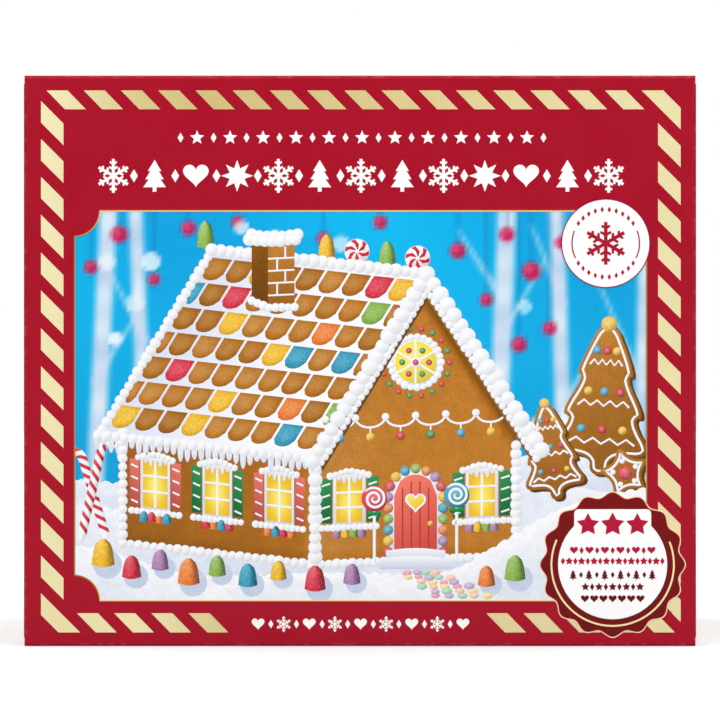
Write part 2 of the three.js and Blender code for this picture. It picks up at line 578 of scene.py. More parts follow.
PANELS = {
    "front": TOWARD_BASE,
    "back": Matrix.Rotation(math.pi, 4, "Z") @ TOWARD_BASE,
    "left": Matrix.Rotation(-math.pi / 2, 4, "Z") @ SIDEWAYS,
    "right": Matrix.Rotation(math.pi / 2, 4, "Z") @ SIDEWAYS,
    "lid": Matrix.Translation((0, -DEPTH / 2, HEIGHT)) @ Matrix.Rotation(-math.pi / 2, 4, "X"),
}
PANELS["left small"], PANELS["right small"] = PANELS["left"] @ shrink, PANELS["right"] @ shrink
MAIN, SIDES, SMALL_SIDES, LID = ("front", "back"), ("left", "right"), ("left small", "right small"), ("lid",)
MAP_HIDDEN, MAP_SEEN = (0.003, 0.02), (0.03, 0.965)  # where a film's map starts, and how far it runs


def corners_of(shape):
    """The corners of a flat shape as rows of (u, v), in millimetres."""
    return places_of(shape)[:, ::2] / MM


def lay_out(shape, places):
    """Moves the corners of a flat shape to rows of (u, v), in millimetres."""
    rows = np.zeros((len(places), 3))
    rows[:, ::2] = places
    move_corners(shape, rows * MM)
    return shape


def cut_out(points):
    """A flat shape that faces the reader, with these corners (u, v)."""
    area = sum(a[0] * b[1] - b[0] * a[1] for a, b in zip(points, points[1:] + points[:1]))
    choose()
    bpy.ops.mesh.primitive_circle_add(vertices=len(points), fill_type="NGON")
    return lay_out(bpy.context.object, points if area > 0 else points[::-1])


def shifted(shape, u, v):
    return lay_out(shape, corners_of(shape) + (u, v))


def paint(shape, colours):
    """Gives each corner of a flat shape its ink: one sRGB colour for all, or a row for each."""
    rows = np.ones((len(shape.data.vertices), 4))
    rows[:, :3] = inked(colours)
    layer = shape.data.attributes.get("ink")
    if layer is None:
        layer = shape.data.color_attributes.new("ink", "FLOAT_COLOR", "POINT")
    layer.data.foreach_set("color", rows.ravel())
    return shape


def blend_of(low, high, share):
    """Colours between two, a row for each share."""
    return np.asarray(low, float) + (np.asarray(high, float) - low) * np.asarray(share)[..., None]


def fade(shape, low, high, along=(0, 1)):
    """Colours a flat shape evenly from low to high in a direction of the panel."""
    reach = corners_of(shape) @ along
    return paint(shape, blend_of(low, high, (reach - reach.min()) / max(np.ptp(reach), 1e-6)))


def scatter(shape, places):
    """Copies of a flat shape at (u, v, size, turn in degrees), made one. The first shape is used up."""
    copies = []
    for u, v, size, turn in places:
        move = Matrix.Translation((u * MM, -(len(copies) % 5) * CLEAR, v * MM))
        move = move @ Matrix.Rotation(math.radians(-turn), 4, "Y") @ Matrix.Scale(size, 4)
        copies.append(copy_at(shape, move))
    bpy.data.objects.remove(shape)
    return join(copies)


def trim(shape, low, high):
    """Cuts away what lies outside a rectangle of the panel."""
    edit(shape)
    for axis, place, side in ((0, low[0], -1), (0, high[0], 1), (2, low[1], -1), (2, high[1], 1)):
        pick_all()
        bpy.ops.mesh.bisect(**across_axis(axis, place * MM, side), clear_outer=True, threshold=CUT_EXACT)
    done()
    return shape


def map_film(flat):
    """Lays a film's finish out as it is seen, and its hidden faces in a small corner of the map."""
    mesh = flat.data
    order = bmesh.new()  # a shape that lies over another comes after it
    order.from_mesh(mesh)
    order.faces.sort(key=lambda face: -face.calc_center_median().y)
    order.to_mesh(mesh)
    order.free()
    corner = np.empty(len(mesh.loops), int)
    mesh.loops.foreach_get("vertex_index", corner)
    facing, count = np.empty(len(mesh.polygons) * 3), np.empty(len(mesh.polygons), int)
    mesh.polygons.foreach_get("normal", facing)
    mesh.polygons.foreach_get("loop_total", count)
    hidden = np.repeat(facing[1::3] > 0.5, count)[:, None]
    place = corners_of(flat)
    place = ((place - place.min(0)) / np.ptp(place, axis=0))[corner]
    start, reach = (np.where(hidden, *pair) for pair in zip(MAP_HIDDEN, MAP_SEEN))
    layer = mesh.uv_layers[0]
    layer.name = "OFBake"
    layer.uv.foreach_set("vector", (start + reach * place).ravel())


def film(name, levels, material, slot, **groups):
    """Prints shapes, by ink level, on groups of panels: closed films of ink that follow the panels' bow."""
    shapes = []
    for level, group in sorted(levels.items()):
        for shape in group:
            shape.data.transform(Matrix.Translation((0, -level * INK - len(shapes) % 3 * 5 * CLEAR, 0)))
            if shape.name not in bpy.context.collection.objects:
                bpy.context.collection.objects.link(shape)
            shapes.append(shape)
    flat = join(shapes)
    edit(flat, "FACE")
    pick_faces(flat, lambda p, n: n.y > 0)
    bpy.ops.mesh.flip_normals()
    pick_all()
    bpy.ops.mesh.extrude_region_move()
    bpy.ops.transform.resize(value=(1, 0, 1), center_override=(0, UNDER, 0))
    bpy.ops.mesh.dissolve_limited(angle_limit=math.radians(1))
    pick_all()
    bpy.ops.mesh.flip_normals()
    done()
    reach = corners_of(flat) * MM
    slice_at(flat, 0, grid_lines(reach[:, 0].min(), reach[:, 0].max()))
    slice_at(flat, 2, grid_lines(reach[:, 1].min(), reach[:, 1].max()))
    map_film(flat)
    for place, panels in groups.items():
        piece = join([copy_at(flat, PANELS[panel]) for panel in panels])
        bow(piece)
        piece.name = piece.data.name = f"{name}_{place}"
        piece.data.materials.clear()
        piece.data.materials.append(material)
        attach(piece, "root")
    bpy.data.objects.remove(flat)


def ink_of(tree):
    """The ink that the corners of a film carry."""
    node = tree.nodes.new("ShaderNodeAttribute")
    node.attribute_name = "ink"
    return node.outputs["Color"]


def bars(first, last, low, high, upright=False, turns=(), gaps=()):
    """A row of bars between two slants (a slant is u + v), trimmed to its band. turns are corner bars."""
    count = round(abs(last - first) / BAR_PITCH)
    step = (last - first) / count
    if upright:
        ends = ((low[0], 0), (high[0], 0), (high[0], BAR_WIDTH), (low[0], BAR_WIDTH))
        bar = [(u, first + w - u) for u, w in ends]
        return trim(scatter(cut_out(bar), [(0, step * i, 1, 0) for i in range(count + 1)]), low, high)
    middle = (low[1] + high[1]) / 2
    rows = []
    for width, lean, marks in (
        (ROW_BAR_WIDTH, ROW_LEAN, [i for i in range(count + 1) if i not in (*gaps, *turns)]),
        (BAR_WIDTH, 1.0, turns),
    ):
        spare = (BAR_WIDTH - width) / 2
        ends = ((low[1], 0), (low[1], width), (high[1], width), (high[1], 0))
        bar = [(first - middle + spare + w - lean * (v - middle), v) for v, w in ends]
        rows.append(scatter(cut_out(bar), [(step * i, 0, 1, 0) for i in marks]))
    return trim(join(rows), low, high)


BANDS = 11.05, 11.1, 9.25, 9.45  # the widths of the rows of bars: left, right, top and bottom
BORDER_FOOT, BORDER_HEAD = 6.7, 272.6
# The slants of the bars at which the rows meet, from the slants of the corners they are near.
TOP_LEFT, TOP_RIGHT, BOTTOM_LEFT, BOTTOM_RIGHT = -15.8, -19.15, 8.6, -13.15


def border(left, right, head=BORDER_HEAD, gaps=()):
    """The four rows of bars inside a rectangle."""
    foot = BORDER_FOOT
    top = [left + head + TOP_LEFT, right + head + TOP_RIGHT]
    bottom = [left + foot + BOTTOM_LEFT, right + foot + BOTTOM_RIGHT]
    upper, lower = (round((last - first) / BAR_PITCH) for first, last in (top, bottom))
    inner_left, inner_right, inner_head, inner_foot = (
        edge + way * band for edge, way, band in zip((left, right, head, foot), (1, -1, -1, 1), BANDS)
    )
    return [
        bars(*top, (left, inner_head), (right, head), turns=(0, upper)),
        bars(*bottom, (left, foot), (right, inner_foot), turns=(0, lower + 1), gaps=gaps),
        bars(bottom[0], top[0], (left, inner_foot), (inner_left, inner_head), True),
        bars(bottom[1], top[1], (inner_right, inner_foot), (right, inner_head), True),
    ]


GOLD_LIGHT, GOLD_DEEP = (246, 236, 189), (213, 192, 130)
# How deep the gold's painted sheen is at the head and the foot of a panel, at shares of its half width from
# the middle.
HEAD_SHARES, HEAD_DEPTHS = (-0.92, -0.86, -0.64, -0.43, -0.22, 0.2, 0.85), (0, 0.2, 0.85, 1, 0.9, 0.67, 0.23)
FOOT_SHARES, FOOT_DEPTHS = (-0.9, -0.64, -0.43, 0.4, 0.6, 0.9), (0.2, 0, 0.6, 0.46, 0.38, 0.28)


def gild_with_painted_sheen(shape, half_width):
    """A painted sheen on the gold: light in the upright rows, and deepest in the rows left of the middle."""
    u, v = corners_of(shape).T
    at_head = np.interp(u / half_width, HEAD_SHARES, HEAD_DEPTHS)
    at_foot = np.interp(u / half_width, FOOT_SHARES, FOOT_DEPTHS)
    return paint(shape, blend_of(GOLD_LIGHT, GOLD_DEEP, at_foot + (at_head - at_foot) * v * MM / HEIGHT))


gold = printed("gold_print", ink_of, 0.08, 0.2)
gold.node_tree.nodes["Principled BSDF"].inputs["Metallic"].default_value = 0.05
for rows, half_width, panels in (
    (border(-156.5, 157.3, gaps=range(5, 12)), 165, {"main": MAIN}),
    (border(-102.5, 102.5), 110, {"sides": SIDES}),
    (border(-156.5, 157.3, 209.0), 165, {"lid": LID}),
):
    film("gold_border", {1: [gild_with_painted_sheen(row, half_width) for row in rows]}, gold, "gold_ink", **panels)


# ---- The winter picture ----
# Printed in four colours inside a gold line with notched corners: an iced gingerbread cottage and fir-tree
# biscuits in the snow, in front of a blurred blue evening. The painted light falls from the upper left.
LIGHT = np.array((-0.55, 0.835))  # where the painted light comes from
TO_LIGHT = (-0.5, 0.8)  # the same, as flat shapes are shaded
FRAME_LOW, FRAME_HIGH = (-140.4, 21.9), (141.0, TOP_LINE)
draw = random.Random(7)
WHITE, ICING_LIGHT, ICING_SHADE = (241, 243, 249), (250, 251, 255), (206, 212, 232)
GINGER = (191, 120, 38)
SUGAR_RED, SUGAR_YELLOW, SUGAR_BLUE = (222, 52, 72), (247, 190, 42), (50, 158, 190)
SUGAR_GREEN, SUGAR_ORANGE, SUGAR_LILAC = (140, 184, 76), (240, 128, 52), (176, 128, 178)
SWEETS = (SUGAR_RED, SUGAR_YELLOW, SUGAR_BLUE, SUGAR_GREEN, SUGAR_ORANGE, SUGAR_LILAC)
CANDY_RED, LEAF_GREEN, CORAL = (206, 26, 44), (31, 138, 70), (236, 106, 91)
PANE, PANE_DEEP, PANE_GLOW = (248, 226, 58), (238, 186, 36), (255, 240, 120)
LARGE_AND_SMALL = {"main": MAIN, "sides": SMALL_SIDES}
art = {kind: {} for kind in ("sky", "snow", "biscuit", "icing", "sugar", "candy")}


def put(kind, level, *shapes):
    """Keeps flat shapes for the film of a kind, at an ink level."""
    art[kind].setdefault(level, []).extend(shapes)
    for shape in shapes:
        bpy.context.collection.objects.unlink(shape)


def lit(colour, share):
    """A colour lightened by a share above 0, or darkened by one below it."""
    colour, share = np.asarray(colour, float), np.asarray(share, float)[..., None]
    return np.where(share > 0, colour + (255 - colour) * share, colour * (1 + share))


def ramp(value, low, high):
    """0 below low, 1 above high and an even curve between."""
    share = np.clip((value - low) / (high - low), 0, 1)
    return share * share * (3 - 2 * share)


def shares(across, up):
    """How far across and up each corner of a sheet lies, from 0 to 1."""
    b, a = np.divmod(np.arange((across + 1) * (up + 1)), across + 1)
    return a / across, b / up


def sheet(across, up, place):
    """A grid of faces, whose corners are placed by a function of how far across and up they lie."""
    choose()
    bpy.ops.mesh.primitive_grid_add(x_subdivisions=across, y_subdivisions=up)
    return lay_out(bpy.context.object, np.stack(place(*shares(across, up)), 1))


def block(low, high, step):
    """A rectangle of square faces."""
    (left, foot), (right, head) = low, high
    counts = max(1, round((right - left) / step)), max(1, round((head - foot) / step))
    return sheet(*counts, lambda a, b: (left + (right - left) * a, foot + (head - foot) * b))


def ball(radius, colour, gleam=0.5, shadow=-0.35, count=14):
    """A round bead or sweet, lit on one side and shaded on the other."""
    choose()
    bpy.ops.mesh.primitive_circle_add(vertices=count, fill_type="TRIFAN")
    turn = np.radians(90 + 360 * np.arange(count) / count)
    rim = np.stack((np.cos(turn), np.sin(turn)), 1)
    lay_out(bpy.context.object, np.vstack((0.3 * LIGHT, rim)) * radius)
    facing = rim @ LIGHT
    tone = np.where(facing > 0, 0.3 * gleam * facing, -shadow * facing)
    return paint(bpy.context.object, np.vstack((lit(colour, gleam), lit(colour, tone))))


def sweet(kind, level, place, radius, colour, *look):
    """Puts a round sweet, bead or disc at a place. look is what else a ball takes."""
    put(kind, level, shifted(ball(radius, colour, *look), *place))


def patch(kind, level, points, dark, light, toward=(0, 1)):
    """Puts a shape with these corners, shaded evenly in a direction of the panel."""
    put(kind, level, fade(cut_out(points), dark, light, toward))


def trace(line):
    """The distance along a line of points, and the directions to its left."""
    line = np.asarray(line, float)
    ahead = np.gradient(line, axis=0)
    if np.hypot(*(line[0] - line[-1])) < 1e-6:
        ahead[0] = ahead[-1] = line[1] - line[-2]
    ahead /= np.hypot(*ahead.T)[:, None]
    run = np.concatenate(([0], np.cumsum(np.hypot(*np.diff(line, axis=0).T))))
    return line, run, np.stack((-ahead[:, 1], ahead[:, 0]), 1)


def ribbon(line, width, colour, gleam=0.3, shadow=-0.3, span=(0, 1), slant=0.0, step=2.0, tail=1.0):
    """A piped line, lit on one flank and shaded on the other. tail is the share of its width at its ends."""
    line, run, left = trace(line)
    start, length = run[-1] * span[0], run[-1] * (span[1] - span[0])
    steps = max(2, round(length / step))

    def along_line(values, s):
        return np.stack([np.interp(s, run, column) for column in values.T])

    def place(a, b):
        s = start + length * a + slant * (b - 0.5)
        wide = width * (b - 0.5) * (tail + (1 - tail) * (1 - np.abs(2 * a - 1) ** 12))
        return along_line(line, s) + wide * along_line(left, s)

    shape = sheet(steps, 2, place)
    a, b = shares(steps, 2)
    facing = LIGHT @ along_line(left, start + length * a) * (2 * b - 1)
    tone = np.where(b == 0.5, 0.45 * gleam, np.where(facing > 0, gleam * facing, -shadow * facing))
    return paint(shape, lit(colour, tone))


def pipe(level, line, width, shadow=-0.1, **how):
    """Pipes a line of icing. how is what else a ribbon takes."""
    put("icing", level, ribbon(line, width, WHITE, 0.8, shadow, **how))


def along(line, pitch):
    """Points at an even pitch along a line."""
    line, run, _ = trace(line)
    marks = np.linspace(0, run[-1], max(1, round(run[-1] / pitch)) + 1)
    return list(zip(np.interp(marks, run, line[:, 0]), np.interp(marks, run, line[:, 1])))


def beads(level, line, radius, pitch):
    """Puts a row of icing beads along a line, a little uneven."""
    places = [(u, v, 1 + draw.uniform(-0.12, 0.12), 0) for u, v in along(line, pitch)]
    put("icing", level, scatter(ball(radius, WHITE, 0.8, -0.11, 12), places))


def lay(shape, plane):
    """Lays a shape out on one of the cottage's planes: its corner, and the directions of its two axes."""
    corner, across, up = plane
    return lay_out(shape, corner + corners_of(shape) @ np.array((across, up)))


def at(plane, s, t):
    """A place on a plane of the cottage."""
    corner, across, up = plane
    return tuple(corner + s * np.asarray(across) + t * np.asarray(up))


def on(plane, *points):
    return [at(plane, s, t) for s, t in points]


def polar(u, v, radius, turn):
    """The place at a distance from (u, v), at an angle in radians."""
    return u + radius * math.cos(turn), v + radius * math.sin(turn)


def arc(u, v, radius, start, end, count=16):
    turn = np.radians(np.linspace(start, end, count + 1))
    return list(zip(u + radius * np.cos(turn), v + radius * np.sin(turn)))


def placed(points, u, v, size=1, turn=0):
    """Points scaled, turned by an angle in degrees and moved by (u, v)."""
    c, s = size * math.cos(math.radians(turn)), size * math.sin(math.radians(turn))
    return [(u + c * x - s * y, v + s * x + c * y) for x, y in points]


def soften(points, rounds=2):
    """Rounds the corners of a closed outline."""
    points = np.asarray(points, float)
    for _ in range(rounds):
        ahead = np.roll(points, -1, axis=0)
        points = np.stack((0.75 * points + 0.25 * ahead, 0.25 * points + 0.75 * ahead), 1).reshape(-1, 2)
    return [tuple(point) for point in points]


# The evening sky, pale trunks and boughs, red baubles on strings and flakes of light, all out of focus.
LOW_SKY, HIGH_SKY, SKY_DRIFT = (4, 162, 218), (0, 174, 231), (0.2, -1, -0.8)
PALE_BARK, BLUE_BARK, BOUGH = (232, 236, 246), (188, 204, 232), (206, 218, 240)
STRING, BAUBLE, GLINT, LIGHT_FLAKE = (40, 110, 170), (200, 30, 82), (236, 110, 150), (238, 246, 250)
sky = block(FRAME_LOW, FRAME_HIGH, 1.8)
u, v = corners_of(sky).T
sky_ink = blend_of(LOW_SKY, HIGH_SKY, ramp(v, 60, 200))
sky_ink += (np.sin(u / 31 + v / 47) * ramp(v, 90, 210) * 10)[:, None] * SKY_DRIFT


def veil(tint, share):
    """Lays a tint over the sky, thickly where its share is near 1."""
    sky_ink[:] += (tint - sky_ink) * share[:, None]


for foot_u, lean, half in ((-131, 5, 4.2), (-104, -4, 3.4), (66, 4, 4.6), (101, -3, 3.8), (136, 3, 3.2)):
    away = np.abs(u - foot_u - lean * (v - 60) / 100)
    bark = 0.5 + 0.5 * np.sin(v / 4.1 + foot_u) * np.sin(v / 9.7 + 2 * foot_u)
    veil(blend_of(PALE_BARK, BLUE_BARK, 0.75 * bark), 0.94 * ramp(half - away, -2.4, 2.4))
for root_u, root_v, tip_u, tip_v in (
    (-130, 130, -108, 165), (-105, 150, -124, 186), (68, 150, 90, 188), (66, 176, 48, 204),
    (101, 120, 122, 158), (100, 168, 84, 206), (137, 132, 118, 176),
):
    span = np.array((tip_u - root_u, tip_v - root_v), float)
    share = np.clip(((u - root_u) * span[0] + (v - root_v) * span[1]) / (span @ span), 0, 1)
    away = np.hypot(u - root_u - share * span[0], v - root_v - share * span[1])
    veil(BOUGH, 0.7 * ramp(1.7 * (1 - 0.6 * share) - away, -1.7, 1.7))
for hook_u, length, size in (
    (-132, 28, 3.4), (-118, 12, 4.2), (-101, 34, 3.0), (-84, 9, 3.6), (-18, 14, 3.2), (48, 20, 4.0),
    (62, 44, 3.2), (72, 12, 3.6), (84, 30, 4.6), (93, 58, 3.4), (99, 16, 3.2), (-60, 6, 3.0), (10, 6, 3.4),
    (78, 66, 3.8),
):
    middle_v = FRAME_HIGH[1] - length
    veil(STRING, 0.35 * ramp(0.9 - np.abs(u - hook_u), -1.2, 1.2) * (v > middle_v))
    away = np.hypot(u - hook_u, v - middle_v)
    veil(BAUBLE, 0.95 * ramp(size - away, -1.6, 1.6))
    glint = np.hypot(u - hook_u + 0.3 * size, v - middle_v - 0.3 * size)
    veil(GLINT, 0.5 * ramp(0.5 * size - glint, -1.2, 1.2))
for _ in range(34):
    flake_u, flake_v = draw.uniform(-137, 137), draw.uniform(70, 208)
    size, strength = draw.choice((3.4, 4.0, 4.5)), draw.uniform(0.6, 0.95)
    away = np.hypot(u - flake_u, v - flake_v)
    veil(LIGHT_FLAKE, strength * ramp(size - away, -0.8, 0.8))
put("sky", 1, paint(sky, sky_ink))


def bank(heights, level, light, shade):
    """A bank of snow under a line of heights at even distances across the frame."""
    (left, foot), right = FRAME_LOW, FRAME_HIGH[0]
    knots = np.linspace(left, right, len(heights))

    def top(u):
        smooth = sum(np.interp(u + shift, knots, heights) for shift in (-7, -3.5, 0, 3.5, 7)) / 5
        return smooth + 0.5 * np.sin(u * 1.1) + 0.35 * np.sin(u * 2.3 + 1)

    def place(a, b):
        u = left + (right - left) * a
        return u, foot + (top(u) - foot) * (1 - (1 - b) ** 1.5)

    shape = sheet(round((right - left) / 1.9), 22, place)
    u, v = corners_of(shape).T
    depth = top(u) - v
    hollow = 0.5 + 0.3 * np.sin(u / 17 + v / 9) + 0.2 * np.sin(u / 6.1 - v / 5.3 + 2)
    share = np.clip(ramp(depth, 0, 30) * 0.55 + hollow * 0.45 * ramp(depth, 0, 8), 0, 1)
    put("snow", level, paint(shape, blend_of(light, shade, share)))


bank((82, 80, 76, 74, 72, 74, 78, 82, 88, 94, 92, 96, 98), 2, (236, 242, 250), (208, 218, 237))
bank((70, 67, 62, 58, 56, 58, 60, 64, 72, 82, 80, 76, 72), 3, (243, 246, 252), (216, 225, 241))

# The cottage, seen from its front left corner: the gable end faces the reader and the long side runs away.
WIDE, DEEP, WALL, RIDGE, EAVE = 100, 118, 64, 142, 7
CORNER = np.array((-22.0, 39.0))
ACROSS, AWAY, UPWARD = np.array((0.985, 0.045)), np.array((-0.80, 0.09)), np.array((0.0, 1.0))
PITCH = (RIDGE - WALL) / (WIDE / 2)
GABLE, SIDE = (CORNER, ACROSS, UPWARD), (CORNER, AWAY, UPWARD)
eave_corner = CORNER - EAVE * ACROSS - EAVE * AWAY + (WALL - EAVE * PITCH) * UPWARD
slope_length = math.hypot(WIDE / 2 + EAVE, (WIDE / 2 + EAVE) * PITCH)
slope = (WIDE / 2 + EAVE) * (ACROSS + PITCH * UPWARD) / slope_length
ROOF = (eave_corner, AWAY, slope)
roof_deep = DEEP + 2 * EAVE

wall = block((0, 0), (DEEP, WALL), 4)
s, t = corners_of(wall).T
tone = -0.06 - 0.4 * ramp(t, WALL - 16, WALL - 4) - 0.1 * s / DEEP
tone += 0.12 * ramp(-s, -10, 0) - 0.12 * ramp(-t, -10, 0)
put("biscuit", 4, lay(paint(wall, lit(GINGER, tone)), SIDE))
wall = sheet(24, 32, lambda a, b: (
    WIDE / 2 + (a - 0.5) * WIDE * np.clip((RIDGE - RIDGE * b) / (RIDGE - WALL), 0.002, 1), RIDGE * b
))
s, t = corners_of(wall).T
under_roof = RIDGE - PITCH * np.abs(s - WIDE / 2) - t
tone = 0.05 - 0.42 * ramp(-under_roof, -15, -3) - 0.16 * ramp(-t, -9, 0) + 0.07 * ramp(-s, -40, 0)
put("biscuit", 5, lay(paint(wall, lit(GINGER, tone)), GABLE))


def gumdrop(width, height, colour):
    """A gumdrop that stands at the origin."""
    shape = sheet(6, 6, lambda a, b: (
        (a - 0.5) * width * (1 - 0.28 * b) * np.sqrt(1 - (0.985 * b) ** 5),
        height * b - 0.12 * width * np.sin(math.pi * a) * (1 - b),
    ))
    a, b = shares(6, 6)
    tone = 0.34 * np.cos((a - 0.28) * 3.3) * (0.4 + 0.6 * b) - 0.22 * ramp(a, 0.5, 1) - 0.12 * (1 - b)
    return paint(shape, lit(colour, tone))


def icicle(width, length):
    """A drop of icing that hangs from the origin."""
    shape = sheet(4, 4, lambda a, b: (
        (a - 0.5) * width * np.sqrt(1 - (0.97 * (1 - b)) ** 3), -length * (1 - b)
    ))
    return fade(shape, (214, 220, 238), WHITE, (-0.6, 0.6))


def arched(width, height):
    """A wall opening with a round head that stands at the origin."""
    half = width / 2
    return sheet(max(6, round(width / 3)), max(4, round(height / 3)), lambda a, b: (
        (a - 0.5) * width, b * (height - half + half * np.sqrt(np.clip(1 - (2 * a - 1) ** 2, 0, 1)))
    ))


def cottage_window(plane, s, t, width, height, shutter):
    """A lit window with bars, shutters, an iced sill, drops of icing along its head and sweets below."""
    half, head = width / 2, t + height

    def hang(kind, level, shape, across, up):
        put(kind, level, lay(shifted(shape, across, up), plane))

    rim = block((-half - 1.6, -1.6), (half + 1.6, height + 1.6), 5)
    hang("icing", 6, fade(rim, ICING_SHADE, WHITE, (-0.4, 0.9)), s, t)
    pane = block((-half, 0), (half, height), 3)
    x, y = corners_of(pane).T
    glow = 1 - np.hypot(x / width, y / height - 0.45) * 1.5
    hang("candy", 7, paint(pane, blend_of(PANE_DEEP, PANE_GLOW, ramp(glow, 0, 1))), s, t)
    pipe(8, on(plane, (s, t), (s, head)), 1.1, -0.09)
    for up in (t + height / 3, t + height * 2 / 3):
        pipe(8, on(plane, (s - half, up), (s + half, up)), 1.1, -0.09)
    for middle in (s - half - 5.2, s + half + 5.2):
        leaf = fade(block((-3, 0), (3, height), 3), lit(shutter, -0.25), lit(shutter, 0.12), TO_LIGHT)
        hang("candy", 7, leaf, middle, t)
        for k in range(4):
            rung = t + height * (k + 0.3) / 4
            pipe(8, on(plane, (middle - 2.1, rung), (middle + 2.1, rung + 1.2)), 0.9, -0.09)
    beads(9, on(plane, (s - half - 7, t - 2.4), (s + half + 7, t - 2.4)), 1.7, 2.7)
    beads(9, on(plane, (s - half - 3, head + 1), (s, head + 3.4), (s + half + 3, head + 1)), 1.7, 2.7)
    for k in range(5):
        hang("icing", 8, icicle(2.2, 2.2 + 1.5 * (k % 2)), s + width * (k - 2) / 5, head + 0.8)
    for k in range(4):
        place = at(plane, s + (k - 1.5) * width / 3.2, t - 7)
        put("sugar", 9, shifted(gumdrop(4.6, 4.8, SWEETS[(k * 2 + round(s)) % 6]), *place))


for s, shutter in ((22, CORAL), (60, LEAF_GREEN), (98, CORAL)):
    cottage_window(SIDE, s, 20, 15, 23, shutter)
for s in (17, 83):
    cottage_window(GABLE, s, 21, 13, 22, LEAF_GREEN)

# The door, with two steps, a heart-shaped pane and sweets round it, between two lollipops with bows.
DOOR_WIDE, DOOR_HIGH = 21, 38
JAMB = 13.4
door = door_u, door_v = at(GABLE, WIDE / 2, 5)
surround = shifted(arched(DOOR_WIDE + 5, DOOR_HIGH + 3), *door)
put("icing", 6, fade(surround, ICING_SHADE, WHITE, (-0.4, 0.9)))
leaf = shifted(arched(DOOR_WIDE, DOOR_HIGH), *door)
put("candy", 7, fade(leaf, (206, 74, 66), (246, 128, 108), (-0.5, 0.85)))
for u in (-6.4, -2.1, 2.1, 6.4):
    groove = placed([(u, 0.5), (u, DOOR_HIGH - 3 - u**2 / 12)], *door)
    put("candy", 8, ribbon(groove, 0.7, (186, 58, 54), 0.1, -0.3))
turn = np.radians(np.arange(0, 360, 12))
heart = list(zip(-0.96 * np.sin(turn) ** 3, 0.13 + (
    13 * np.cos(turn) - 5 * np.cos(2 * turn) - 2 * np.cos(3 * turn) - np.cos(4 * turn)) / 17))
pane = placed(heart, door_u, door_v + 24, 5)
patch("candy", 9, pane, (240, 190, 40), PANE_GLOW, TO_LIGHT)
pipe(10, pane + pane[:1], 0.9, -0.09, step=1)
sweet("candy", 9, (door_u + 7.2, door_v + 14), 1.3, SUGAR_YELLOW)
jamb = [(-JAMB, 0), (-JAMB, 27), *arc(0, DOOR_HIGH - DOOR_WIDE / 2, JAMB, 180, 0, 12), (JAMB, 27), (JAMB, 0)]
for k, place in enumerate(along(placed(jamb, *door), 5.3)):
    sweet("sugar", 8, place, 2.5, SWEETS[k % 6], 0.45, -0.3)
bow_tie = soften([(-3.4, 1.8), (0, 0.6), (3.4, 1.8), (3.4, -1.8), (0, -0.6), (-3.4, -1.8)], 1)
for way, colour in ((-1, SUGAR_RED), (1, SUGAR_BLUE)):
    u, v = at(GABLE, WIDE / 2 + way * 20.5, 3)
    pipe(9, [(u, v - 3), (u, v + 24)], 1.5, -0.2)
    sweet("candy", 10, (u, v + 29), 6.3, colour, 0.35, -0.3, 24)
    swirl = [polar(u, v + 29, 2.4 * a / 6.28, a) for a in np.linspace(0.3, 2.4, 40) * 2 * math.pi]
    pipe(11, swirl, 1.3, step=1.2, tail=0.3)
    patch("candy", 11, placed(bow_tie, u, v + 21.6), (18, 104, 48), (60, 170, 90))
for level, half, low in ((10, 14.5, -2.4), (11, 17.5, -6.2)):
    stair = sheet(8, 2, lambda a, b: (
        door_u + (a - 0.5) * 2 * half, door_v + low + (b - 0.4) * 5 + 1.3 * np.sin(math.pi * a) * b
    ))
    put("icing", level, fade(stair, (204, 211, 232), ICING_LIGHT))

# The round window over the door, and icing swags with pearls across the gable.
rose = at(GABLE, WIDE / 2, 98)
sweet("icing", 6, rose, 13.2, WHITE, 0.3, -0.2, 36)
sweet("candy", 7, rose, 10.2, PANE, 0.4, -0.12, 32)
for k in range(6):
    turn = math.pi * k / 3 + 0.52
    pipe(8, [rose, polar(*rose, 10.4, turn)], 1.0, -0.09)
    sweet("candy", 8, polar(*rose, 6.6, turn + 0.52), 1.5, CANDY_RED if k % 2 else LEAF_GREEN)
sweet("icing", 9, rose, 2.6, WHITE, 0.8, -0.1)
sweet("candy", 10, rose, 1.5, CANDY_RED)
beads(8, arc(*rose, 12.4, 0, 345, 40), 1.8, 3.1)
for k, place in enumerate(along(arc(*rose, 16.6, 0, 340, 40), 5.8)):
    sweet("candy", 8, place, 1.4, (CANDY_RED, LEAF_GREEN)[k % 2])
SWAG_HEIGHT = 72
hooks = np.linspace(5, WIDE - 5, 7)
turn = np.linspace(math.pi, 0, 13)
for k, (start, end) in enumerate(zip(hooks, hooks[1:])):
    swag = zip((start + end) / 2 + (end - start) / 2 * np.cos(turn), SWAG_HEIGHT - 5 * np.sin(turn))
    swag = on(GABLE, *swag)
    pipe(8, swag, 1.1)
    low_u, low_v = swag[6]
    pipe(8, [(low_u, low_v), (low_u, low_v - 3)], 0.8)
    pearl = (SUGAR_BLUE, SUGAR_YELLOW, CANDY_RED, LEAF_GREEN)[k % 4]
    sweet("candy", 9, (low_u, low_v - 4.6), 2.1, pearl)
put("icing", 9, scatter(ball(1.9, WHITE, 0.8, -0.1), [(*at(GABLE, s, SWAG_HEIGHT), 1, 0) for s in hooks]))

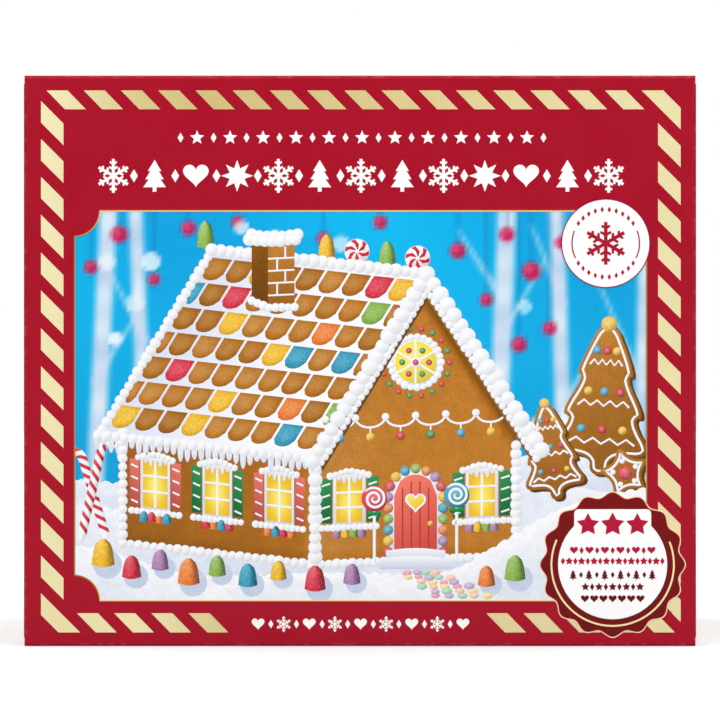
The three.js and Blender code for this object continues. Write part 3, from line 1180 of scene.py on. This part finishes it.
# The roof: a slab covered in icing, with rows of round-ended biscuit tiles and sugared sweets among them.
slab = block((0, 0), (roof_deep, slope_length), 6)
s, t = corners_of(slab).T
icing = blend_of(ICING_LIGHT, (212, 219, 238), ramp(s, 20, roof_deep + 40))
put("icing", 7, lay(paint(slab, icing), ROOF))
TILE_ROWS, TILES = 7, 9
tile_wide, tile_high = (roof_deep - 4) / TILES, (slope_length - 8) / TILE_ROWS
tiles = {"biscuit": [], "sugar": []}
a, b = shares(6, 5)
puff = 0.16 * np.sin(math.pi * b) * np.sin(math.pi * a)
tile_tone = puff + 0.1 * (a - 0.35) - 0.16 * (1 - ramp(b, 0, 0.4)) - 0.1 * ramp(b, 0.8, 1)
for row in range(TILE_ROWS):
    offset = row % 2
    for k in range(TILES + offset):
        left = 2.8 + (k - 0.5 * offset) * tile_wide
        right = min(left + tile_wide - 1.6, roof_deep - 2.8)
        left, foot = max(left, 2.8), 5.5 + row * tile_high
        if right - left < 3:
            continue
        shape = sheet(6, 5, lambda a, b: (
            left + (right - left) * a,
            foot + (tile_high - 1.7) * (b + (1 - b) * 0.36 * (1 - np.sqrt(1 - 0.98 * (2 * a - 1) ** 2))),
        ))
        if draw.random() < 0.24:
            kind, tint = "sugar", draw.choice(SWEETS[:5])
        else:
            kind, tint = "biscuit", lit(GINGER, draw.uniform(-0.1, 0.06))
        tiles[kind].append(lay(paint(shape, lit(tint, tile_tone)), ROOF))
for kind, group in tiles.items():
    put(kind, 8, join(group))

# Icing along the eave with drops, down both barges, along the ridge, up the corners and along the foot.
for u, v in along(on(ROOF, (0, 0), (roof_deep, 0)), 3.4):
    put("icing", 9, shifted(icicle(2.9, draw.uniform(3.0, 7.5)), u, v - 0.6))
apex = np.array(at(ROOF, 0, slope_length))
right_eave = apex + (WIDE / 2 + EAVE) * ACROSS - (WIDE / 2 + EAVE) * PITCH * UPWARD
under = (eave_corner + (2.5, -4), apex - (0, 8), right_eave + (-2.5, -4))
for line, tone in ((under[:2], -0.3), (under[1:], -0.22)):
    put("biscuit", 9, ribbon(line, 5.5, lit(GINGER, tone)))
ridge_line = on(ROOF, (2, slope_length), (roof_deep, slope_length))
for level, line, radius, pitch in (
    (10, on(ROOF, (0, 0.8), (roof_deep, 0.8)), 2.7, 4.3),
    (11, (eave_corner, apex), 3.9, 5.9),
    (11, (apex, right_eave), 3.9, 5.9),
    (10, under[:2], 1.9, 3.4),
    (10, under[1:], 1.9, 3.4),
    (10, ridge_line, 3.3, 4.6),
    (10, on(ROOF, (roof_deep - 0.5, 0), (roof_deep - 0.5, slope_length)), 2.5, 4.2),
    (9, on(GABLE, (0, 0), (0, WALL - 12)), 3.4, 4.7),
    (9, on(GABLE, (WIDE, 1), (WIDE, WALL - 9)), 2.8, 4.2),
    (9, on(SIDE, (DEEP, 1), (DEEP, WALL - 9)), 2.4, 4.2),
    (8, on(GABLE, (3, 1), (WIDE, 1)), 2.4, 3.8),
    (8, on(SIDE, (3, 1), (DEEP, 1)), 2.3, 3.8),
):
    beads(level, line, radius, pitch)

# The chimney, and gumdrops and peppermints in turn along the ridge, clear of it.
stack = at(ROOF, roof_deep * 0.6, slope_length * 0.74)
swirl_arm = ((1.0, 0.0), (3.6, 0.25), (6.0, 0.7), (6.0, 1.1), (3.8, 0.8), (1.0, 0.5))
wedge = [polar(0, 0, radius, turn) for radius, turn in swirl_arm]
for k, (u, v) in enumerate(along(ridge_line, 14.5)):
    if -13 < u - stack[0] < 23:
        continue
    if k % 2:
        put("sugar", 9, shifted(gumdrop(8.6, 12.5, SWEETS[(2 * k + 1) % 6]), u - 3, v + 1.5))
        continue
    sweet("icing", 9, (u - 3, v + 7.5), 6.2, WHITE, 0.7, -0.15, 24)
    for j in range(6):
        patch("candy", 10, placed(wedge, u - 3, v + 7.5, 1, 60 * j), (190, 24, 44), (230, 60, 76), TO_LIGHT)
face, flank = [(0, 0), (13, 0.6), (13, 33), (0, 32.4)], [(0, 0), (0, 32.4), (-8, 33.4), (-8, 6)]
patch("biscuit", 11, placed(face, *stack), lit(GINGER, -0.18), lit(GINGER, 0.1))
patch("biscuit", 11, placed(flank, *stack), lit(GINGER, -0.42), lit(GINGER, -0.25))
for low, mark in ((6, 4.5), (12, 8.5), (18, 4.5), (24, 8.5)):
    for joint in ([(0, low), (13, low + 0.6)], [(mark, low), (mark, low + 6)]):
        pipe(12, placed(joint, *stack), 0.9, -0.15)
cap = placed([(-9, 33.5), (0.5, 32.6), (13.5, 33.4)], *stack)
beads(13, cap, 3.0, 3.6)
beads(13, placed(cap, 1, 2.6), 2.6, 3.6)
beads(12.5, placed([(-8, 3.5), (0, 0), (13, 0.4)], *stack), 2.2, 3.2)


# Biscuits that lean in the snow beside the cottage.
def mirrored(right):
    """A closed outline from its right half, given from foot to top, and its mirror image."""
    left = [(-x, y) for x, y in right[::-1] if x > 0]
    return left[-1:] + right + left[:-1]


def biscuit(outline, place, level):
    """A cut-out biscuit with a browned edge and a piped outline."""
    body = placed(outline, *place)
    patch("biscuit", level, placed(body, 1.5, -1.1), lit(GINGER, -0.5), lit(GINGER, -0.4))
    patch("biscuit", level + 0.8, body, lit(GINGER, -0.22), lit(GINGER, 0.08), (-0.55, 0.83))
    line, _, left = trace(body + body[:1])
    pipe(level + 1.6, line + 2.0 * left, 1.2)


fir = soften(mirrored([(4.5, 0), (4.5, 9), (25, 9), (13.5, 27), (20, 27), (9.5, 46), (14.5, 46), (0, 78)]))
star = soften([polar(0, 0, r, math.radians(90 + 36 * k)) for k, r in enumerate((15, 7.4) * 5)])
for place, level in (((117, 84, 1.06, -4), 3.2), ((97, 72, 0.68, 8), 7)):
    size = place[2]
    biscuit(fir, place, level)
    for low, half in ((13.5, 15.5), (31, 12), (50, 7.5)):
        zigzag = [(half * (k / 4 - 1), low + (2.6 if k % 2 else 0) + 0.9) for k in range(9)]
        pipe(level + 1.6, placed(zigzag, *place), 1.1, step=1.0)
        for k, spot in enumerate(placed([(half * way * 0.62, low + 7.6) for way in (-1, 0, 1)], *place)):
            tint = (CANDY_RED, SUGAR_YELLOW, SUGAR_BLUE)[(k + round(low)) % 3]
            sweet("candy", level + 2.4, spot, 2.0 * size, tint)
    tip, = placed([(0, 70)], *place)
    sweet("sugar", level + 2.4, tip, 3.6 * size, SUGAR_YELLOW, 0.5, -0.2)
STAR_PLACE = (130, 85, 0.95, 14)
biscuit(star, STAR_PLACE, 8)
sweet("sugar", 11, STAR_PLACE[:2], 3.4, SUGAR_RED, 0.4, -0.3)
for dot in placed([polar(0, 0, 6.3, math.radians(90 + 72 * k)) for k in range(5)], *STAR_PLACE):
    sweet("icing", 11, dot, 1.3, WHITE, 0.8, -0.1)

# Two striped sugar canes, crossed, whose heads curl away from each other.
CANE, CURL, STRIPE_PITCH, STRIPE = 4.4, 5, 5.2, 2.3
for foot, head, way, level in (((-124, 52), (-136, 92), -1, 4), ((-137, 52), (-127, 96), 1, 6)):
    ahead_u, ahead_v = np.subtract(head, foot) / math.dist(head, foot)
    middle = middle_u, middle_v = head[0] + way * CURL * ahead_v, head[1] - way * CURL * ahead_u
    turn = math.degrees(math.atan2(head[1] - middle_v, head[0] - middle_u))
    line = [*np.linspace(foot, head, 14), *arc(*middle, CURL, turn, turn - way * 205, 14)[1:]]
    pipe(level, line, CANE, -0.24, step=1.5, tail=0.5)
    run = trace(line)[1][-1]
    for k in range(1, int(run / STRIPE_PITCH)):
        span = STRIPE_PITCH * k / run, (STRIPE_PITCH * k + STRIPE) / run
        put("candy", level + 1, ribbon(line, CANE, CANDY_RED, 0.4, -0.35, span, 0.9 * CANE, 1))

# Snow drifts against the walls, with a path of pebble sweets and a row of gumdrops in front.
bank((50, 45, 37, 34, 35, 36, 36, 35, 37, 52, 66, 74, 78), 12, (250, 251, 254), (227, 233, 244))
pastels = ((240, 150, 176), (164, 216, 180), (250, 222, 140), (190, 170, 214), (250, 200, 170))
pebbles = [[] for _ in pastels]
for row in range(6):
    for k in range(4 + row % 2):
        share = row / 5
        u = 30 + 20 * share + (k - 1.5 - 0.5 * (row % 2)) * (4.7 + 1.6 * share) + draw.uniform(-0.5, 0.5)
        v = 36.2 - 11.4 * share + draw.uniform(-0.4, 0.4)
        pebbles[(2 * row + 3 * k) % 5].append((u, v, draw.uniform(0.9, 1.2), 0))
for k, (pastel, places) in enumerate(zip(pastels, pebbles)):
    pebble = ball(1.8, pastel, 0.5, -0.16, 12)
    put("candy", 13 + 0.15 * k, scatter(lay_out(pebble, corners_of(pebble) * (1.3, 0.8)), places))
for k, (u, v, size) in enumerate((
    (-126, 40, 1.2), (-112, 34, 1.0), (-98, 38, 0.9), (-84, 31, 1.15), (-70, 35, 0.9), (-55, 30, 1.0),
    (-40, 33, 0.85), (-22, 28, 1.1), (-4, 31, 0.9), (62, 30, 0.9), (76, 33, 1.1),
)):
    put("snow", 13, paint(scatter(ball(6.0, WHITE), [(u + 2.2, v + 0.2, size, 0)]), (200, 212, 234)))
    put("sugar", 14, scatter(gumdrop(9.5, 10.5, SWEETS[(k * 5 + 1) % 6]), [(u, v, size, 0)]))


def grainy(*layers):
    """An ink broken up by layers of noise: scale, detail, the range that counts, the darkest and lightest."""
    def ink(tree):
        place = object_place(tree)
        grain = 1.0
        for scale, detail, *limits in layers:
            layer = add(tree, "ShaderNodeMapRange", noise(tree, place, scale, detail), *limits)
            grain = math_node(tree, "MULTIPLY", layer, grain)
        return mixed(tree, 1.0, ink_of(tree), grain, "MULTIPLY")
    return ink


def sugared(tree):
    """Sugar crystals: light and dark specks over the colour."""
    place = object_place(tree)
    cells = add(tree, "ShaderNodeTexVoronoi", place, None, 1500)
    sparkle = add(tree, "ShaderNodeMapRange", cells, 0.05, 0.35, 0.34, 0.0)
    body = grainy((900, 2, 0.35, 0.65, 0.84, 1.06))(tree)
    return mixed(tree, sparkle, body, (0.9, 0.9, 0.9, 1))


snowy = grainy((220, 4, 0.35, 0.7, 0.96, 1.04), (1400, 2, 0.35, 0.65, 0.95, 1.04))  # soft lumps, fine grains
crumbly = grainy((160, 3, 0.3, 0.7, 0.9, 1.06), (1300, 2, 0.35, 0.65, 0.86, 1.08))  # uneven browning, crumbs
picture_inks = {
    "sky": (ink_of, 0.05),
    "snow": (snowy, 0.03),
    "biscuit": (crumbly, 0.05),
    "icing": (ink_of, 0.03),
    "sugar": (sugared, 0.04),
    "candy": (ink_of, 0.04),
}
for kind, levels in art.items():
    for shape in (shape for group in levels.values() for shape in group):
        reach = corners_of(shape)
        if (reach.min(0) < FRAME_LOW).any() or (reach.max(0) > FRAME_HIGH).any():
            bpy.context.collection.objects.link(shape)
            trim(shape, FRAME_LOW, FRAME_HIGH)
    finish = printed(f"{kind}_print", *picture_inks[kind], SATIN)
    film(f"picture_{kind}", levels, finish, "picture_ink", **LARGE_AND_SMALL)


# ---- The picture's frame ----
# A fine gold line, brown outside, pale inside and lightest along its level stretches, that swerves round a
# notch at each corner of the picture. The notches are covered in crimson.
NOTCH = 12.5
FRAME_LINE = 0.8
LINE_BROWNS, LINE_GOLDS = ((160, 102, 48), (214, 148, 92)), ((192, 160, 92), (248, 222, 168))
left, foot, right, head = *FRAME_LOW, *FRAME_HIGH
frame_corners = (left, foot, 0), (right, foot, 90), (right, head, 180), (left, head, 270)


def between(first, second):
    """The strip between two lines of equally many points."""
    lines = np.array((first, second))
    count = len(first) - 1
    return sheet(count, 1, lambda a, b: lines[np.rint(b).astype(int), np.rint(a * count).astype(int)].T)


def frame_path(depth):
    """The closed line inside the notched frame, at a depth from its edge."""
    middle = np.add(FRAME_LOW, FRAME_HIGH) / 2
    path = []
    for u, v, turn in frame_corners:
        corner = np.array((u, v))
        inner = corner + np.sign(middle - corner) * depth
        for point in arc(u, v, NOTCH + depth, turn + 90, turn, 12):
            path.append(tuple(np.where(np.abs(point - corner) < depth, inner, point)))
    return path + path[:1]


notches = [cut_out([(u, v), *arc(u, v, NOTCH, turn, turn + 90, 12)]) for u, v, turn in frame_corners]
film(
    "frame_notches",
    {14: [paint(shape, CRIMSON) for shape in notches]},
    printed("notch_print", ink_of, 0.1, SATIN),
    "printed_board",
    **LARGE_AND_SMALL,
)
strips = []
for depth, (upright_tone, level_tone) in ((0, LINE_BROWNS), (FRAME_LINE / 2, LINE_GOLDS)):
    strip = between(frame_path(depth), frame_path(depth + FRAME_LINE / 2))
    v = corners_of(strip)[:, 1]
    level = ramp(np.maximum(v - head, foot - v), -NOTCH, -1)
    strips.append(paint(strip, blend_of(upright_tone, level_tone, level)))
film("frame_line", {15: strips}, gold, "gold_ink", **LARGE_AND_SMALL)


# ---- The white ornaments ----
# Knitting-pattern motifs in the places of a heading, a line over it and a line at the foot: flakes, firs,
# hearts, stars and diamonds in opaque white ink, printed straight on the crimson.
PURE_WHITE, BARE_WHITE = (255, 255, 255), (255, 254, 252)


def pointed_star(points, inner):
    turn = [math.radians(90 + 180 * k / points) for k in range(2 * points)]
    return [polar(0, 0, r, a) for a, r in zip(turn, (1, inner) * points)]


ARM = 0.085  # half the width of a flake's arms
arm = mirrored([
    (ARM, 1.732 * ARM), (ARM, 0.36), (0.27, 0.47), (0.24, 0.58), (ARM, 0.52), (ARM, 0.68), (0.22, 0.76),
    (0.19, 0.87), (ARM, 0.83), (ARM, 1.0),
])[1:]
flake = [point for k in range(6) for point in placed(arm, 0, 0, 1, 60 * k)]
little_fir = mirrored([
    (0.12, -1), (0.12, -0.72), (0.72, -0.72), (0.36, -0.22), (0.58, -0.22), (0.26, 0.3), (0.42, 0.3), (0, 1)
])
diamond = mirrored([(0, -1), (0.6, 0), (0, 1)])
five_star, full_star, eight_star = pointed_star(5, 0.45), pointed_star(5, 0.52), pointed_star(8, 0.5)


def stamp(outline, colour, u, v, size=1):
    """A motif in one colour."""
    return paint(cut_out(placed(outline, u, v, size)), colour)


def motif_row(motifs, start, end, v, colour=BARE_WHITE):
    """A row of motifs (outline, size) at even distances, in one colour."""
    places = np.linspace(start, end, len(motifs))
    return [stamp(outline, colour, u, v, size) for u, (outline, size) in zip(places, motifs)]


def in_turn(count, *motifs):
    """So many motifs, in turn."""
    return [motifs[k % len(motifs)] for k in range(count)]


spacer = (diamond, 3.2)
heading = in_turn(
    12, (flake, 8.3), spacer, (little_fir, 7.8), spacer, (heart, 6.6), spacer, (eight_star, 7.8), spacer
)
heading = heading + [(flake, 8.3)] + heading[::-1]
top_line = in_turn(23, (diamond, 2.4), (five_star, 3.6))
foot_line = in_turn(17, (heart, 3.3), (diamond, 2.1), (flake, 3.8), (diamond, 2.1))
white = printed("white_print", ink_of, 0.03, SATIN)
HEADING_ENDS, TOP_ENDS, FOOT_ENDS = (-121, 122), (-88, 90), (-50, 50.5)
HEADING_LINE, TOP_ROW, FOOT_ROW = 230.7, 249.4, 10.8
rows = motif_row(heading, *HEADING_ENDS, HEADING_LINE) + motif_row(top_line, *TOP_ENDS, TOP_ROW)
rows += motif_row(foot_line, *FOOT_ENDS, FOOT_ROW)
film("ornaments", {1: rows}, white, "picture_ink", main=MAIN)


# ---- The round badge ----
# A white disc with a fine crimson rim, printed over the picture's upper right corner. A crimson flake stands
# in it inside a ring of dots, in the place of words.
BADGE = (120.5, 197.6)
BADGE_CRIMSON = (176, 28, 52)
DOT_RADIUS = 16.6  # of the ring of dots


def disc(place, radius, colour):
    return stamp(arc(0, 0, radius, 0, 360, 48)[:-1], colour, *place)


def ring(place, outer, inner, colour, start=0, end=360, count=48):
    edges = [arc(*place, radius, start, end, count) for radius in (outer, inner)]
    return paint(between(*edges), colour)


marks = [ring(BADGE, 21.9, 21.4, (150, 30, 60)), stamp(flake, BADGE_CRIMSON, *BADGE, 10.5)]
marks += [ring(BADGE, 16.9, 16.2, BADGE_CRIMSON, a, b, 12) for a, b in ((158, 206), (-26, 22))]
for turn in range(36, 150, 12):
    for side in (1, -1):
        spot = polar(*BADGE, DOT_RADIUS, side * math.radians(turn))
        marks.append(stamp(diamond, BADGE_CRIMSON, *spot, 1.5))
film("badge", {16: [disc(BADGE, 21.6, PURE_WHITE)], 17: marks}, white, "picture_ink", **LARGE_AND_SMALL)


# ---- The seal ----
# A maroon seal with a waved edge, printed over the lower right corner of the picture and the border below it.
# Its white field, ringed in cream, carries rows of crimson and maroon motifs in the places of words.
SEAL = seal_u, seal_v = (123.9, 40.0)
MAROON, SEAL_CRIMSON = (108, 24, 24), (184, 26, 58)
SEAL_WAVES, SEAL_STEPS = 16, 160


def waved(tip, valley):
    """A closed outline of even waves, with a crest at its top."""
    turns = 2 * math.pi * np.arange(SEAL_STEPS) / SEAL_STEPS
    radius = (tip + valley) / 2 + (tip - valley) / 2 * np.cos(SEAL_WAVES * turns)
    return [(r * math.sin(a), r * math.cos(a)) for r, a in zip(radius, turns)]


field_top = [(-18.9, 14), (18.9, 14), *arc(16.7, 25, 2.2, 0, 90, 6), *arc(-16.7, 25, 2.2, 90, 180, 6)]
seal_marks = []
for colour, reach, up, motifs in (
    (SEAL_CRIMSON, 12.1, 19.6, [(full_star, 5.8), (full_star, 6.1), (full_star, 5.8)]),
    (SEAL_CRIMSON, 19, 7.0, in_turn(11, (heart, 2.1), (diamond, 1.8))),
    (SEAL_CRIMSON, 24.4, 1.7, in_turn(17, (diamond, 1.8), (full_star, 2.1))),
    (MAROON, 19.4, -5.0, in_turn(11, (little_fir, 2.5), (diamond, 1.6))),
    (MAROON, 13.4, -10.9, in_turn(9, (full_star, 2.1), (diamond, 1.8))),
    (MAROON, 13.6, -16.8, in_turn(7, (heart, 2.1))),
):
    seal_marks += motif_row(motifs, seal_u - reach, seal_u + reach, seal_v + up, colour)
film(
    "seal",
    {
        16: [stamp(waved(36.0, 33.4), (250, 226, 186), *SEAL)],
        16.6: [stamp(waved(35.5, 32.9), CRIMSON, *SEAL)],
        17.2: [fade(cut_out(placed(waved(35.1, 32.4), *SEAL)), (112, 16, 16), (124, 16, 20))],
        18: [disc(SEAL, 26.8, PURE_WHITE), ring(SEAL, 30.5, 29.6, (255, 226, 176), -204, 22)],
        18.8: [stamp(field_top, PURE_WHITE, *SEAL)],
        19.6: seal_marks,
    },
    printed("seal_print", ink_of, 0.06, SATIN),
    "printed_board",
    **LARGE_AND_SMALL,
)


# ---- The side panels and the lid ----
# Ornaments over and under the small pictures, a ruled white field on each side, where a pack lists its facts,
# and motifs on the lid.
RULE_INK = (96, 22, 26)


def oblong(left, foot, right, head):
    """The corners of a rectangle."""
    return [(left, foot), (right, foot), (right, head), (left, head)]


side_rows = motif_row(heading[:9] + heading[:8][::-1], -80, 80, HEADING_LINE)
side_rows += motif_row(top_line[:15], -58, 58, TOP_ROW)
for v, start in ((31, 0), (53, 4), (75, 2)):
    side_rows += motif_row(heading[start:start + 7], 10, 78, v)
side_rows.append(paint(cut_out(oblong(-86, 24, -8, 84)), PURE_WHITE))
rules = [
    paint(cut_out(oblong(-83, foot, -11, foot + thickness)), RULE_INK)
    for foot, thickness in ((78, 1.6), (70, 0.5), (62, 0.5), (54, 0.5), (46, 0.5), (38, 1.2), (30, 0.5))
]
outer, inner = oblong(-84.6, 25.4, -9.4, 82.6), oblong(-84.1, 25.9, -9.9, 82.1)
rules.append(paint(between(outer + outer[:1], inner + inner[:1]), RULE_INK))
film("ornaments", {1: side_rows, 2: rules}, white, "picture_ink", sides=SIDES)
lid_rows = [
    shape
    for motifs, ends, heights in ((heading, HEADING_ENDS, (150, 66)), (top_line, TOP_ENDS, (172, 44)))
    for v in heights
    for shape in motif_row(motifs, *ends, v)
]
great_row = [(flake, 22), (eight_star, 12), (flake, 26), (eight_star, 12), (flake, 22)]
lid_rows += motif_row(great_row, -96, 96, 108)
film("ornaments", {1: lid_rows}, white, "picture_ink", lid=LID)
